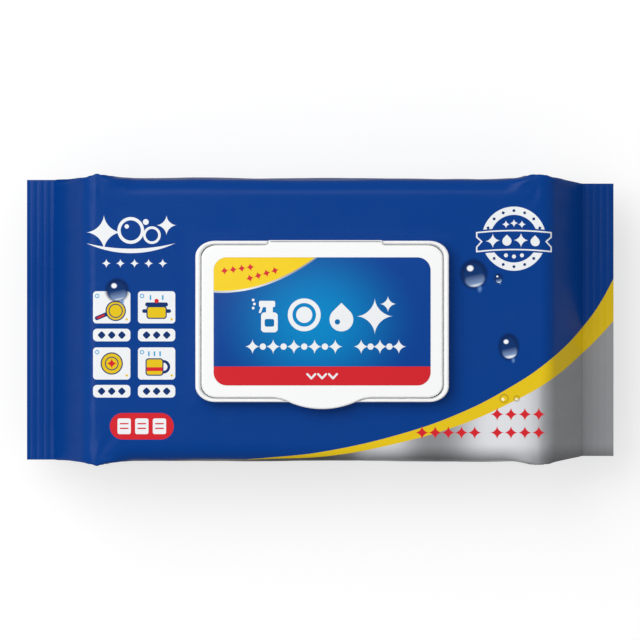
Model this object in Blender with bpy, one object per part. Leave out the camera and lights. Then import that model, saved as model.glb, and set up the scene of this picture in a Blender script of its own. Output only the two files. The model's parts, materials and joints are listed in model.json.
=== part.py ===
"""A flow-wrapped pack of wet wipes with a moulded flip-top lid, lying on its back.

Metres, +Z up. X runs along the pack, Y across it towards the lid's hinge. The origin is at the middle
of the underside, on the surface that the pack lies on.
"""

import math

import bmesh
import bpy
from mathutils import Matrix, Vector

MM = 0.001

# Film pack: a tube of film round the stack of wipes, tucked in at both sides of each end and sealed flat.
PACK_LENGTH = 250.0 * MM  # over both end fins
PACK_WIDTH = 120.8 * MM  # between the long sides
PACK_HEIGHT = 50.0 * MM
EDGE_RADIUS = 5.0 * MM  # the four long edges
SIDE_SWELL = 0.8 * MM  # how far the long sides stand out at mid-height
END_RUN = 18.2 * MM  # from the shoulder, where the top starts to fall, to the fin
SHOULDER_RADIUS = 7.2 * MM
EAR_RUN = 16.0 * MM  # length of body over which the side swells into the ear
FOLD_RADIUS = 0.8 * MM  # the folded edges of the end panels
FOLD_LAYER = 0.5 * MM  # film between an end panel and the tuck below it

# End fins: flat crimped seals at mid-height, the left one on -X.
FIN_THICKNESS = 1.0 * MM
CRIMP_DEPTH = 0.25 * MM
CRIMP_COUNT = 4
LEFT_FIN_LENGTH = 11.5 * MM
LEFT_FIN_STEP = 0.8 * MM  # how far the fin stays inside the body's side
LEFT_EAR_REACH = 2.2 * MM  # how far the ear stands out of the body's side
RIGHT_FIN_LENGTH = 13.2 * MM
RIGHT_FIN_STEP = 2.3 * MM
RIGHT_EAR_REACH = 1.4 * MM

# Back seam: the film's lengthwise seal, folded flat into the underside.
SEAM_WIDTH = 12.0 * MM
SEAM_EDGE_Y = 0.0 * MM
SEAM_GROOVE = 0.35 * MM

# Lid frame, seen from above: a tray glued to the film with a rounded rim and a window.
FRAME_LENGTH = 107.8 * MM
FRAME_WIDTH = 68.6 * MM
FRAME_CORNER_X = 8.4 * MM
FRAME_CORNER_Y = 6.8 * MM
FRAME_X = 0.8 * MM  # the frame's middle, off the pack's
FRAME_Y = -0.7 * MM
RIM_HEIGHT = 6.3 * MM
RIM_END_WIDTH = 2.0 * MM  # at the frame's two short ends
RIM_SIDE_WIDTH = 1.3 * MM  # along its two long sides
FLOOR_THICKNESS = 1.2 * MM
WINDOW_MARGIN_X = 11.5 * MM  # from the frame's outside to the window
WINDOW_MARGIN_Y = 9.5 * MM
WINDOW_CORNER = 8.0 * MM
COLLAR_WALL = 1.0 * MM
COLLAR_HEIGHT = 2.2 * MM

# Lid: a flat cap that sits inside the rim, with a hinge tongue at the back and a thumb tab in front.
LID_GAP = 0.6 * MM  # round the lid, to the rim
LID_STEP = 0.3 * MM  # how far the lid's top stands above the rim
LID_SKIN = 1.3 * MM
LID_WALL = 1.2 * MM
LID_EDGE_RADIUS = 0.9 * MM
PLUG_GAP = 0.6 * MM  # from the window's collar to the ring that closes it
PLUG_WALL = 0.9 * MM
PLUG_OVERLAP = 0.8 * MM  # how far the ring reaches into the collar
TONGUE_WIDTH = 48.4 * MM
TONGUE_OFFSET = 1.4 * MM  # along X, off the frame's middle
TONGUE_THICKNESS = 1.7 * MM
TAB_REACH = 3.0 * MM  # in front of the frame
TAB_CHORD = 28.4 * MM  # the tab's width where it crosses the frame's front
TAB_THICKNESS = 1.7 * MM
CATCH_LENGTH = 16.0 * MM
CATCH_REACH = 0.2 * MM
CATCH_HEIGHT = 0.6 * MM

# Labels: the printed one on the lid, and the resealable one on the film inside the window.
LABEL_THICKNESS = 0.2 * MM
LABEL_BORDER = 5.2 * MM  # from the lid's edge to its label
LABEL_CORNER = 5.6 * MM
LABEL_CLEARANCE = 0.3 * MM  # round the label, in the lid's recess
SEAL_MARGIN = 5.5 * MM  # from the window to the seal label
SEAL_CORNER = 9.0 * MM
PULL_TAB_RADIUS = 5.5 * MM
PULL_TAB_REACH = 3.0 * MM  # past the label's front edge

# Fits
SEAT_GAP = 0.3 * MM  # under a piece that is stuck on or rests on another
HINGE_GAP = 0.4 * MM  # between the frame and the tongue and tab that pass over it
HINGE_STAND_OFF = 0.2 * MM  # the hinge line, behind the frame

CORNER_STEPS = 7
EDGE_STEPS = 3
TAB_STEPS = 14

# Heights that follow from the sizes
MID_HEIGHT = PACK_HEIGHT / 2
FRAME_BOTTOM = PACK_HEIGHT + SEAT_GAP
FLOOR_TOP = FRAME_BOTTOM + FLOOR_THICKNESS
RIM_TOP = FRAME_BOTTOM + RIM_HEIGHT
COLLAR_TOP = FLOOR_TOP + COLLAR_HEIGHT
LID_TOP = RIM_TOP + LID_STEP
LID_UNDERSIDE = LID_TOP - LID_SKIN
TONGUE_BOTTOM = LID_TOP - TONGUE_THICKNESS
TAB_BOTTOM = LID_TOP - TAB_THICKNESS
LABEL_RECESS = SEAT_GAP

FRAME_BACK = FRAME_Y + FRAME_WIDTH / 2
FRAME_FRONT = FRAME_Y - FRAME_WIDTH / 2
HINGE = Vector((FRAME_X + TONGUE_OFFSET, FRAME_BACK + HINGE_STAND_OFF, TONGUE_BOTTOM - HINGE_GAP / 2))
LID_HALF_X = FRAME_LENGTH / 2 - RIM_END_WIDTH - LID_GAP
LID_HALF_Y = FRAME_WIDTH / 2 - RIM_SIDE_WIDTH - LID_GAP

FILM_BLUE = (0.005, 0.051, 0.266)
LID_WHITE = (0.90, 0.91, 0.91)
LABEL_BLUE = (0.004, 0.180, 0.480)
SEAL_WHITE = (0.80, 0.82, 0.84)


def empty_scene():
    for thing in list(bpy.data.objects):
        bpy.data.objects.remove(thing, do_unlink=True)


def collection(name):
    made = bpy.data.collections.new(name)
    bpy.context.scene.collection.children.link(made)
    return made


def material(name, colour, roughness):
    made = bpy.data.materials.new(name)
    made.use_nodes = True
    shader = made.node_tree.nodes["Principled BSDF"]
    shader.inputs["Base Color"].default_value = (*colour, 1.0)
    shader.inputs["Roughness"].default_value = roughness
    shader.inputs["Metallic"].default_value = 0.0
    return made


def loft(name, rings, group, closed=False):
    """Joins rings of equally many points: into a tube with flat ends, or into a ring closed on itself."""
    bm = bmesh.new()
    loops = [[bm.verts.new(point) for point in ring] for ring in rings]
    pairs = list(zip(loops, loops[1:]))
    if closed:
        pairs.append((loops[-1], loops[0]))
    else:
        bm.faces.new(loops[0])
        bm.faces.new(loops[-1])
    for near, far in pairs:
        for i, corner in enumerate(near):
            j = (i + 1) % len(near)
            bm.faces.new((corner, near[j], far[j], far[i]))
    bmesh.ops.recalc_face_normals(bm, faces=bm.faces)
    mesh = bpy.data.meshes.new(name)
    bm.to_mesh(mesh)
    bm.free()
    made = bpy.data.objects.new(name, mesh)
    group.objects.link(made)
    return made


def prism(name, points, bottom, top, group):
    """A flat outline of (x, y) points, made solid between two heights."""
    return loft(name, [[(x, y, z) for x, y in points] for z in (bottom, top)], group)


def finish(thing, paint, sharp_degrees=35):
    thing.data.materials.append(paint)
    thing.data.shade_smooth()
    thing.data.set_sharp_from_angle(angle=math.radians(sharp_degrees))


def combine(thing, other, operation):
    """Joins another solid to this one, or cuts it away. The other one is only a guide."""
    step = thing.modifiers.new(f"{operation.lower()}_{other.name}", "BOOLEAN")
    step.operation = operation
    step.solver = "EXACT"
    step.object = other
    other.hide_render = True
    other.display_type = "WIRE"


def rounded(half_x, half_y, corner_x, corner_y):
    """A rectangle with rounded corners round the frame's middle, as (x, y) points."""
    points = []
    for quarter in range(4):
        side_x = 1 if quarter in (0, 3) else -1
        side_y = 1 if quarter in (0, 1) else -1
        for step in range(CORNER_STEPS + 1):
            angle = math.pi / 2 * (quarter + step / CORNER_STEPS)
            x = FRAME_X + side_x * (half_x - corner_x) + corner_x * math.cos(angle)
            y = FRAME_Y + side_y * (half_y - corner_y) + corner_y * math.sin(angle)
            points.append((x, y))
    return points


def level(outline, z):
    return [(x, y, z) for x, y in outline]


# Film pack


def slope_angle():
    """The angle of the end panels: the line from the fin that touches the shoulder's round."""
    rise = MID_HEIGHT - SHOULDER_RADIUS - FIN_THICKNESS / 2
    return math.atan2(rise, END_RUN) + math.asin(SHOULDER_RADIUS / math.hypot(rise, END_RUN))


def half_height(run):
    """Half the pack's height, this far in from the fin."""
    angle = slope_angle()
    shoulder = END_RUN - SHOULDER_RADIUS * math.sin(angle)
    if run >= END_RUN:
        return MID_HEIGHT
    if run > shoulder:
        drop = SHOULDER_RADIUS - math.sqrt(SHOULDER_RADIUS**2 - (END_RUN - run) ** 2)
        return MID_HEIGHT - drop
    return FIN_THICKNESS / 2 + run * math.tan(angle)


def half_width(run, fin_step, ear_reach):
    """Half the pack's width, this far in from the fin: narrow at the fin, widest at the ear."""
    body = PACK_WIDTH / 2
    if run < END_RUN:
        return body - fin_step + (fin_step + ear_reach) * (run / END_RUN) ** 1.5
    past = min(1.0, (run - END_RUN) / EAR_RUN)
    return body + ear_reach * (1 - past) ** 1.8


def side_of_section(wide, high, tip, radius):
    """One side of a section from the top edge round to the bottom edge, by way of the tip at mid-height."""
    points = []
    for step in range(EDGE_STEPS + 1):
        angle = math.pi / 2 * (1 - step / EDGE_STEPS)
        points.append((wide - radius + radius * math.cos(angle), high - radius + radius * math.sin(angle)))
    lip = high - max(radius, min(FOLD_LAYER, high / 2))
    points[-1] = (wide, lip)
    points.append(((wide + tip) / 2, lip / 2))
    lower = [(y, -z) for y, z in reversed(points)]
    return [*points, (tip, 0.0), *lower]


def section(x, wide, high, tip, radius, seam):
    """A closed section across the pack at x, with the seam's two grooves in its underside."""
    right = side_of_section(wide, high, tip, radius)
    left = [(-y, z) for y, z in reversed(right)]
    grooves = []
    for middle in (SEAM_EDGE_Y, SEAM_EDGE_Y - SEAM_WIDTH):
        for across, up in ((SEAM_GROOVE, 0.0), (0.0, seam), (-SEAM_GROOVE, 0.0)):
            grooves.append((middle + across, up - high))
    return [(x, y, MID_HEIGHT + z) for y, z in (*right, *grooves, *left)]


def fin_sections(side, length, step_in):
    """The crimped fin, from its free end to the end panels."""
    wide = PACK_WIDTH / 2 - step_in
    end = side * PACK_LENGTH / 2
    pitch = length / CRIMP_COUNT
    stations = [(0.0, 0.0)]
    for ridge in range(CRIMP_COUNT):
        for part, depth in ((0.25, 0.0), (0.5, CRIMP_DEPTH), (0.75, 0.0)):
            stations.append(((ridge + part) * pitch, depth))
    rings = []
    for along, depth in stations:
        high = FIN_THICKNESS / 2 - depth
        rings.append(section(end - side * along, wide, high, wide, high / 2, 0.0))
    rings.append(section(end - side * length, wide, FIN_THICKNESS / 2, wide, FIN_THICKNESS / 4, 0.0))
    return rings


def end_sections(side, length, fin_step, ear_reach):
    """The end panels and the tuck between them, from the fin to the straight body."""
    fin_line = side * (PACK_LENGTH / 2 - length)
    slope_runs = [END_RUN * part for part in (0.04, 0.12, 0.25, 0.4, 0.55, 0.7, 0.82, 0.92, 1.0)]
    ear_runs = [END_RUN + EAR_RUN * part for part in (0.12, 0.3, 0.6, 1.0)]
    rings = []
    for run in slope_runs + ear_runs:
        wide = half_width(run, fin_step, ear_reach)
        high = half_height(run)
        ear = wide - PACK_WIDTH / 2
        if run < END_RUN:
            tuck = math.sqrt(MID_HEIGHT**2 - high**2) + 1.3 * ear_reach * run / END_RUN
            radius = min(FOLD_RADIUS, high / 2)
            swell = 0.0
        else:
            settled = min(1.0, (run - END_RUN) / EAR_RUN)
            tuck = 1.3 * ear
            radius = FOLD_RADIUS + (EDGE_RADIUS - FOLD_RADIUS) * settled
            swell = SIDE_SWELL * settled
        seam = SEAM_GROOVE * min(1.0, run / END_RUN)
        rings.append(section(fin_line - side * run, wide - swell, high, wide - tuck, radius, seam))
    return rings


def pouch(group):
    left = fin_sections(-1, LEFT_FIN_LENGTH, LEFT_FIN_STEP)
    left += end_sections(-1, LEFT_FIN_LENGTH, LEFT_FIN_STEP, LEFT_EAR_REACH)
    right = fin_sections(1, RIGHT_FIN_LENGTH, RIGHT_FIN_STEP)
    right += end_sections(1, RIGHT_FIN_LENGTH, RIGHT_FIN_STEP, RIGHT_EAR_REACH)
    made = loft("pouch", left + right[::-1], group)
    finish(made, material("printed_film", FILM_BLUE, 0.35))
    return made


# Lid frame


def tab_outline(clearance):
    """The thumb tab from above: a wide shallow arc in front of the frame, run back to the lid's wall."""
    radius = (TAB_CHORD**2 / 4 + TAB_REACH**2) / (2 * TAB_REACH)
    middle_y = FRAME_FRONT - TAB_REACH + radius
    back_y = FRAME_FRONT + RIM_SIDE_WIDTH + LID_GAP + LID_WALL / 2
    grown = radius + clearance
    half_angle = math.acos((middle_y - back_y) / grown)
    points = []
    for step in range(TAB_STEPS + 1):
        angle = half_angle * (2 * step / TAB_STEPS - 1)
        points.append((FRAME_X + grown * math.sin(angle), middle_y - grown * math.cos(angle)))
    return points


def tongue_outline(clearance, back_y):
    """The hinge tongue from above, from the lid's back wall to this line behind it."""
    middle = FRAME_X + TONGUE_OFFSET
    half = TONGUE_WIDTH / 2 + clearance
    front_y = FRAME_BACK - RIM_SIDE_WIDTH - LID_GAP - LID_WALL / 2
    return [(middle - half, front_y), (middle + half, front_y), (middle + half, back_y), (middle - half, back_y)]


def catch(name, wall_y, reach, bottom, group):
    """A small ridge along the front wall, which holds the lid shut."""
    half = CATCH_LENGTH / 2
    edge_y = wall_y + reach
    root_y = wall_y - math.copysign(LID_WALL / 2, reach)
    corners = [(FRAME_X - half, root_y), (FRAME_X + half, root_y), (FRAME_X + half, edge_y), (FRAME_X - half, edge_y)]
    return prism(name, corners, bottom, bottom + CATCH_HEIGHT, group)


def lid_frame(group, guides):
    half_x, half_y = FRAME_LENGTH / 2, FRAME_WIDTH / 2
    window_x, window_y = half_x - WINDOW_MARGIN_X, half_y - WINDOW_MARGIN_Y

    def rim(part, z):
        """The outline this part of the rim's width in from the outside."""
        inset_x, inset_y = RIM_END_WIDTH * part, RIM_SIDE_WIDTH * part
        corners = (FRAME_CORNER_X - inset_x, FRAME_CORNER_Y - inset_y)
        return level(rounded(half_x - inset_x, half_y - inset_y, *corners), z)

    def collar(wall, z):
        corner = WINDOW_CORNER + wall
        return level(rounded(window_x + wall, window_y + wall, corner, corner), z)

    round_off = RIM_SIDE_WIDTH * 0.7
    made = loft(
        "lid_frame",
        [
            rim(0.0, FRAME_BOTTOM),
            rim(0.0, RIM_TOP - round_off),
            rim(0.12, RIM_TOP - 0.4 * round_off),
            rim(0.4, RIM_TOP),
            rim(0.75, RIM_TOP - 0.1 * round_off),
            rim(1.0, RIM_TOP - 0.6 * round_off),
            rim(1.0, FLOOR_TOP),
            collar(COLLAR_WALL, FLOOR_TOP),
            collar(COLLAR_WALL, COLLAR_TOP),
            collar(0.0, COLLAR_TOP),
            collar(0.0, FRAME_BOTTOM),
        ],
        group,
        closed=True,
    )
    high = LID_TOP + LID_SKIN
    combine(made, prism("tab_slot", tab_outline(HINGE_GAP), TAB_BOTTOM - HINGE_GAP, high, guides), "DIFFERENCE")
    behind = FRAME_BACK + LID_WALL
    slot = prism("tongue_slot", tongue_outline(HINGE_GAP, behind), TONGUE_BOTTOM - HINGE_GAP, high, guides)
    combine(made, slot, "DIFFERENCE")
    wall_y = FRAME_FRONT + RIM_SIDE_WIDTH
    combine(made, catch("frame_catch", wall_y, CATCH_REACH, COLLAR_TOP, guides), "UNION")
    finish(made, material("frame_plastic", LID_WHITE, 0.35))
    return made


# Lid


def lid(group, guides):
    def edge(inset, z):
        corners = (FRAME_CORNER_X - RIM_END_WIDTH - inset, FRAME_CORNER_Y - RIM_SIDE_WIDTH - inset)
        return level(rounded(LID_HALF_X - inset, LID_HALF_Y - inset, *corners), z)

    def recess(z):
        grow = LABEL_CLEARANCE - LABEL_BORDER
        corner = LABEL_CORNER + LABEL_CLEARANCE
        return level(rounded(LID_HALF_X + grow, LID_HALF_Y + grow, corner, corner), z)

    def plug(inset, z):
        inset += PLUG_GAP
        half_x = FRAME_LENGTH / 2 - WINDOW_MARGIN_X - inset
        half_y = FRAME_WIDTH / 2 - WINDOW_MARGIN_Y - inset
        return level(rounded(half_x, half_y, WINDOW_CORNER - inset, WINDOW_CORNER - inset), z)

    skirt_bottom = FLOOR_TOP + SEAT_GAP
    plug_bottom = COLLAR_TOP - PLUG_OVERLAP
    made = loft(
        "lid",
        [
            recess(LID_TOP - LABEL_RECESS),
            recess(LID_TOP),
            edge(LID_EDGE_RADIUS, LID_TOP),
            edge(0.3 * LID_EDGE_RADIUS, LID_TOP - 0.3 * LID_EDGE_RADIUS),
            edge(0.0, LID_TOP - LID_EDGE_RADIUS),
            edge(0.0, skirt_bottom),
            edge(LID_WALL, skirt_bottom),
            edge(LID_WALL, LID_UNDERSIDE),
            plug(0.0, LID_UNDERSIDE),
            plug(0.0, plug_bottom),
            plug(PLUG_WALL, plug_bottom),
            plug(PLUG_WALL, LID_UNDERSIDE),
        ],
        group,
    )
    # Both stop just under the lid's top, where its rounded edge takes over.
    step_down = 0.2 * LID_EDGE_RADIUS
    combine(made, prism("tab", tab_outline(0.0), TAB_BOTTOM, LID_TOP - step_down, guides), "UNION")
    tongue = prism("tongue", tongue_outline(0.0, FRAME_BACK), TONGUE_BOTTOM, LID_TOP - step_down, guides)
    combine(made, tongue, "UNION")
    lid_front = FRAME_Y - LID_HALF_Y
    under_catch = COLLAR_TOP - CATCH_HEIGHT - SEAT_GAP
    combine(made, catch("lid_catch", lid_front, -CATCH_REACH, under_catch, guides), "UNION")
    finish(made, material("lid_plastic", LID_WHITE, 0.3))
    return made


def lid_label(group):
    half_x, half_y = LID_HALF_X - LABEL_BORDER, LID_HALF_Y - LABEL_BORDER
    outline = rounded(half_x, half_y, LABEL_CORNER, LABEL_CORNER)
    bottom = LID_TOP - LABEL_RECESS + SEAT_GAP
    made = prism("lid_label", outline, bottom, bottom + LABEL_THICKNESS, group)
    finish(made, material("label_print", LABEL_BLUE, 0.3))
    return made


def seal_label(group):
    """The peel-off label over the film's cut, with a round pull tab at its front edge."""
    half_x = FRAME_LENGTH / 2 - WINDOW_MARGIN_X - SEAL_MARGIN
    half_y = FRAME_WIDTH / 2 - WINDOW_MARGIN_Y - SEAL_MARGIN
    points = rounded(half_x, half_y, SEAL_CORNER, SEAL_CORNER)
    front = FRAME_Y - half_y
    middle_y = front - PULL_TAB_REACH + PULL_TAB_RADIUS
    half_angle = math.acos((middle_y - front) / PULL_TAB_RADIUS)
    tab = []
    for step in range(TAB_STEPS + 1):
        angle = half_angle * (2 * step / TAB_STEPS - 1)
        tab.append((FRAME_X + PULL_TAB_RADIUS * math.sin(angle), middle_y - PULL_TAB_RADIUS * math.cos(angle)))
    # The tab comes between the last points of the front left corner and the first of the front right one.
    before = 3 * (CORNER_STEPS + 1)
    outline = points[:before] + tab + points[before:]
    made = prism("seal_label", outline, FRAME_BOTTOM, FRAME_BOTTOM + LABEL_THICKNESS, group)
    finish(made, material("seal_film", SEAL_WHITE, 0.25))
    return made


def hang_on_hinge(pieces, group):
    """Parents the moving pieces to an empty on the hinge line, and gives them their origin there."""
    hinge = bpy.data.objects.new("lid_hinge", None)
    hinge.location = HINGE
    group.objects.link(hinge)
    for piece in pieces:
        piece.data.transform(Matrix.Translation(-HINGE))
        piece.parent = hinge


def main():
    empty_scene()
    group = collection("wet_wipes_pack")
    guides = collection("guides")
    pouch(group)
    seal_label(group)
    lid_frame(group, guides)
    hang_on_hinge([lid(group, guides), lid_label(group)], group)


main()
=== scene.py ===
"""Looks of a wet wipes pack: printed film, flip-top lid on its living hinge, labels, studio and camera.

Lengths are in millimetres, in the frame's own axes, until a mesh is made. Colours are linear RGB.
"""

import json
import math

import bpy
import numpy as np
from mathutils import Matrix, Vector, noise


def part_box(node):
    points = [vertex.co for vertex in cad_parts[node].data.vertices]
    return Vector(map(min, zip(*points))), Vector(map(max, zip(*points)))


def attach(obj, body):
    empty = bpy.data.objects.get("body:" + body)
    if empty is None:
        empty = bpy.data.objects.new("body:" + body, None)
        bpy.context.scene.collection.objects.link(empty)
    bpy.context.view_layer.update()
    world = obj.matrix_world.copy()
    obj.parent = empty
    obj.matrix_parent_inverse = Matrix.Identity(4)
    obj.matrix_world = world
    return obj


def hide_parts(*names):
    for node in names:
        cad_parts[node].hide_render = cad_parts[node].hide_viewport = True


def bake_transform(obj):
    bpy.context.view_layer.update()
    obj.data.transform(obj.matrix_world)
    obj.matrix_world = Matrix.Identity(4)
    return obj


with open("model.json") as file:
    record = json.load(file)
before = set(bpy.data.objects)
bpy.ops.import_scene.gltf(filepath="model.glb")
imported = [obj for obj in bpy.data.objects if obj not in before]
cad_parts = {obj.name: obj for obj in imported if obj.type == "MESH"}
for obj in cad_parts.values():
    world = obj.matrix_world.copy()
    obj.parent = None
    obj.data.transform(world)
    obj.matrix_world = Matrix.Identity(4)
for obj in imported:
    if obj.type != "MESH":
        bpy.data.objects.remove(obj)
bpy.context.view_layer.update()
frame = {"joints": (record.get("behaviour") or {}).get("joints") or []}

MM = 0.001


def node_box(node):
    low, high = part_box(node)
    return Vector(low) / MM, Vector(high) / MM


POUCH_LOW, POUCH_HIGH = node_box("pouch")
FRAME_LOW, FRAME_HIGH = node_box("lid_frame")
LID_LOW, LID_HIGH = node_box("lid")
LABEL_LOW, LABEL_HIGH = node_box("lid_label")
SEAL_LOW, SEAL_HIGH = node_box("seal_label")
HINGE = Vector(frame["joints"][0]["pos_m"]) / MM

# Film pack
BODY_HALF = 60.3  # half the body's width, between the ears
HALF_LENGTH = (POUCH_HIGH.x - POUCH_LOW.x) / 2
TOP = POUCH_HIGH.z
MIDDLE = TOP / 2
EDGE_RADIUS = 5.0
EDGE_STRETCH = 1.35  # the long edges are rounder across the top than down the side
FOLD_RADIUS = 0.7
SIDE_SWELL = 0.8
END_RUN = 18.2
SHOULDER_RADIUS = 7.2
EAR_RUN = 16.0
FIN_HALF = 0.4
CRIMP_DEPTH = 0.11
CRIMP_PITCH = 2.9
FIN_WAVE = 0.5
SEAM_WIDTH = 12.0
SEAM_STEP = 0.25
FRAME_SEAT = 0.27  # how far the glued frame draws the film up
TOP_POINTS = 61
WALL_POINTS = 12
EDGE_POINTS = 7

# How far the side stands out of the body's, at these distances in from the fin
LEFT_SIDE = ((0, -0.7), (7, -0.3), (13.6, 0.6), (17.2, 1.4), (18.3, 2.3), (19.6, 1.5), (25, 0.9), (34.2, 0))
RIGHT_SIDE = ((0, -2.3), (8, -0.6), (14.7, 0.9), (17.5, 1.4), (21.5, 1.4), (25, 0.9), (29, 0.2), (34.2, 0))
LEFT_FIN = 11.5
RIGHT_FIN = 13.2

# Lid and frame, seen from above
FRAME_MIDDLE = (FRAME_LOW + FRAME_HIGH) / 2
FRAME_HALF = ((FRAME_HIGH.x - FRAME_LOW.x) / 2, (FRAME_HIGH.y - FRAME_LOW.y) / 2)
FRAME_CORNER = (8.4, 6.8)
RIM_END, RIM_SIDE = 2.0, 1.3
FLOOR_THICKNESS = 1.2
WINDOW_HALF = (FRAME_HALF[0] - 11.5, FRAME_HALF[1] - 9.5)
WINDOW_CORNER = 8.0
COLLAR_WALL, COLLAR_HEIGHT = 1.0, 2.2
LID_GAP = 0.6
LID_HALF = (FRAME_HALF[0] - RIM_END - LID_GAP, FRAME_HALF[1] - RIM_SIDE - LID_GAP)
LID_CORNER = (FRAME_CORNER[0] - RIM_END, FRAME_CORNER[1] - RIM_SIDE)
LID_TOP = LID_HIGH.z
LID_EDGE = 0.8
PLATE = 1.7  # the lid's plate, tongue and tab
SKIRT_WALL = 1.1
PLUG_GAP, PLUG_WALL, PLUG_OVERLAP = 0.6, 0.9, 0.8
TONGUE_HALF, TONGUE_OFFSET, TONGUE_FILLET = 24.2, 1.4, 1.3
TONGUE_PROUD = 0.25
TAB_REACH, TAB_CHORD, TAB_FILLET = 3.0, 28.4, 3.0
SLOT_GAP = 0.5
RECESS_GAP = 0.05
RECESS_DEPTH = 0.3
LABEL_CORNER = (5.6, 5.6)

# Film colours
BLUE = (0.0015, 0.0475, 0.262)
YELLOW = (0.79, 0.55, 0.012)
RED = (0.67, 0.02, 0.03)
NAVY = (0.006, 0.035, 0.16)
WHITE = (0.86, 0.88, 0.9)
SKY = (0.05, 0.36, 0.68)
PLASTIC = (0.96, 0.965, 0.965)
SILVER_WALL = (0.5, 0.51, 0.53)
GREY_INK = (0.2, 0.24, 0.32)

# Label colours
LABEL_YELLOW = (0.9, 0.63, 0.015)
LABEL_LIT, LABEL_DARK = (0.0, 0.24, 0.57), (0.003, 0.055, 0.3)
LABEL_HOLE = (0.0, 0.15, 0.42)
SEAL_PALE, SEAL_BLUE = (0.74, 0.79, 0.84), (0.02, 0.16, 0.5)

# Water drop colours
DROP_RIM, DROP_BODY = (0.002, 0.016, 0.085), (0.006, 0.04, 0.17)
DROP_SHADE, DROP_LIT = (0.005, 0.036, 0.155), (0.25, 0.36, 0.58)
DROP_BRIGHT, DROP_GLINT, DROP_TAIL = (0.86, 0.9, 0.97), (0.95, 0.97, 1.0), (0.12, 0.25, 0.55)
BEAD_RIM, BEAD_GLINT = (0.3, 0.2, 0.01), (1.0, 0.95, 0.7)


# Mesh tools


def mesh_piece(name, points, faces, body, places=None):
    """A mesh object from points in mm. places gives each point its place in the print, also in mm."""
    mesh = bpy.data.meshes.new(name)
    mesh.from_pydata([tuple(c * MM for c in p) for p in points], [], faces)
    if places is not None:
        layer = mesh.attributes.new("print_mm", "FLOAT_VECTOR", "POINT")
        layer.data.foreach_set("vector", np.asarray(places, np.float32).ravel())
    mesh.validate()
    piece = bpy.data.objects.new(name, mesh)
    bpy.context.scene.collection.objects.link(piece)
    if body:
        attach(piece, body)
    return piece


def smooth(piece, sharp_degrees=35):
    piece.data.shade_smooth()
    piece.data.set_sharp_from_angle(angle=math.radians(sharp_degrees))


def ring_faces(rings, size, closed):
    """Quads between rings of the same size, and a cap at each end unless they close on themselves."""
    faces = []
    for ring in range(rings if closed else rings - 1):
        near, far = ring * size, (ring + 1) % rings * size
        for i in range(size):
            j = (i + 1) % size
            faces.append((near + i, near + j, far + j, far + i))
    if not closed:
        faces.append(tuple(reversed(range(size))))
        faces.append(tuple(range((rings - 1) * size, rings * size)))
    return faces


def loft(name, rings, body=None, closed=False):
    """A solid through rings of points: capped at both ends, or closed on itself as a tube."""
    points = [point for ring in rings for point in ring]
    return mesh_piece(name, points, ring_faces(len(rings), len(rings[0]), closed), body)


def rounded(half, corner, steps=14):
    """A rectangle with rounded corners round the lid's middle, counter-clockwise."""
    path = []
    for sx, sy in ((1, -1), (1, 1), (-1, 1), (-1, -1)):
        reach = (corner[1], corner[0]) if sx * sy > 0 else (corner[0], corner[1])
        path.append((FRAME_MIDDLE.x + sx * half[0], FRAME_MIDDLE.y + sy * half[1], *reach))
    return smooth_path(path, steps)


def smooth_path(corners, steps=10):
    """A closed outline through corners given as x, y and how far their rounding reaches back and on."""
    points = []
    for i, (x, y, back, on) in enumerate(corners):
        here = Vector((x, y))
        if not back:
            points.append(here)
            continue
        before = (Vector(corners[i - 1][:2]) - here).normalized()
        after = (Vector(corners[(i + 1) % len(corners)][:2]) - here).normalized()
        for step in range(steps + 1):
            angle = math.pi / 2 * step / steps
            points.append(here + before * back * (1 - math.sin(angle)) + after * on * (1 - math.cos(angle)))
    return points


def inset(outline, distance):
    """The counter-clockwise outline moved in by this distance, or out if it is negative."""
    moved = []
    for i, here in enumerate(outline):
        into = (here - outline[i - 1]).normalized()
        out_of = (outline[(i + 1) % len(outline)] - here).normalized()
        one, two = Vector((-into.y, into.x)), Vector((-out_of.y, out_of.x))
        moved.append(here + (one + two) * distance / (1 + one.dot(two)))
    return moved


def at(outline, z):
    return [(point.x, point.y, z) for point in outline]


def quarter(radius, steps=4):
    """Steps round a quarter circle, as (in from the side, down from the top)."""
    turns = [math.pi / 2 * step / steps for step in range(steps + 1)]
    return [(radius * (1 - math.cos(t)), radius * (1 - math.sin(t))) for t in turns]


def plate(name, outline, bottom, top, radius, under=0.15, body=None):
    """A flat solid with a rounded upper edge and a slightly rounded lower one."""
    rings = [at(inset(outline, i), bottom + d) for i, d in reversed(quarter(under, 2))]
    rings += [at(inset(outline, i), top - d) for i, d in quarter(radius)]
    return loft(name, rings, body)


def wall(name, outline, thickness, bottom, top, radius=0.3):
    """An upright wall inside an outline, with its lower edges rounded."""
    rings = [at(outline, top)]
    rings += [at(inset(outline, i), bottom + d) for i, d in quarter(radius, 3)]
    rings += [at(inset(outline, thickness - i), bottom + d) for i, d in reversed(quarter(radius, 3))]
    rings.append(at(inset(outline, thickness), top))
    made = loft(name, rings, closed=True)
    made.data.flip_normals()
    return made


def apply(piece, kind, **settings):
    """Gives the piece the mesh that one modifier makes of it."""
    step = piece.modifiers.new(kind, kind)
    for name, value in settings.items():
        setattr(step, name, value)
    graph = bpy.context.evaluated_depsgraph_get()
    made = bpy.data.meshes.new_from_object(piece.evaluated_get(graph))
    piece.modifiers.clear()
    old, piece.data = piece.data, made
    bpy.data.meshes.remove(old)


def combine(piece, other, operation):
    apply(piece, "BOOLEAN", operation=operation, solver="EXACT", object=other)
    bpy.data.objects.remove(other)


def soften(piece, width, degrees=50):
    """Rounds the sharp edges that are left after cutting and joining, and keeps the flat faces flat."""
    limit = math.radians(degrees)
    apply(piece, "BEVEL", width=width * MM, segments=2, limit_method="ANGLE", angle_limit=limit)
    smooth(piece, 50)
    apply(piece, "WEIGHTED_NORMAL", weight=100, keep_sharp=True)


# Film pack


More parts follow.
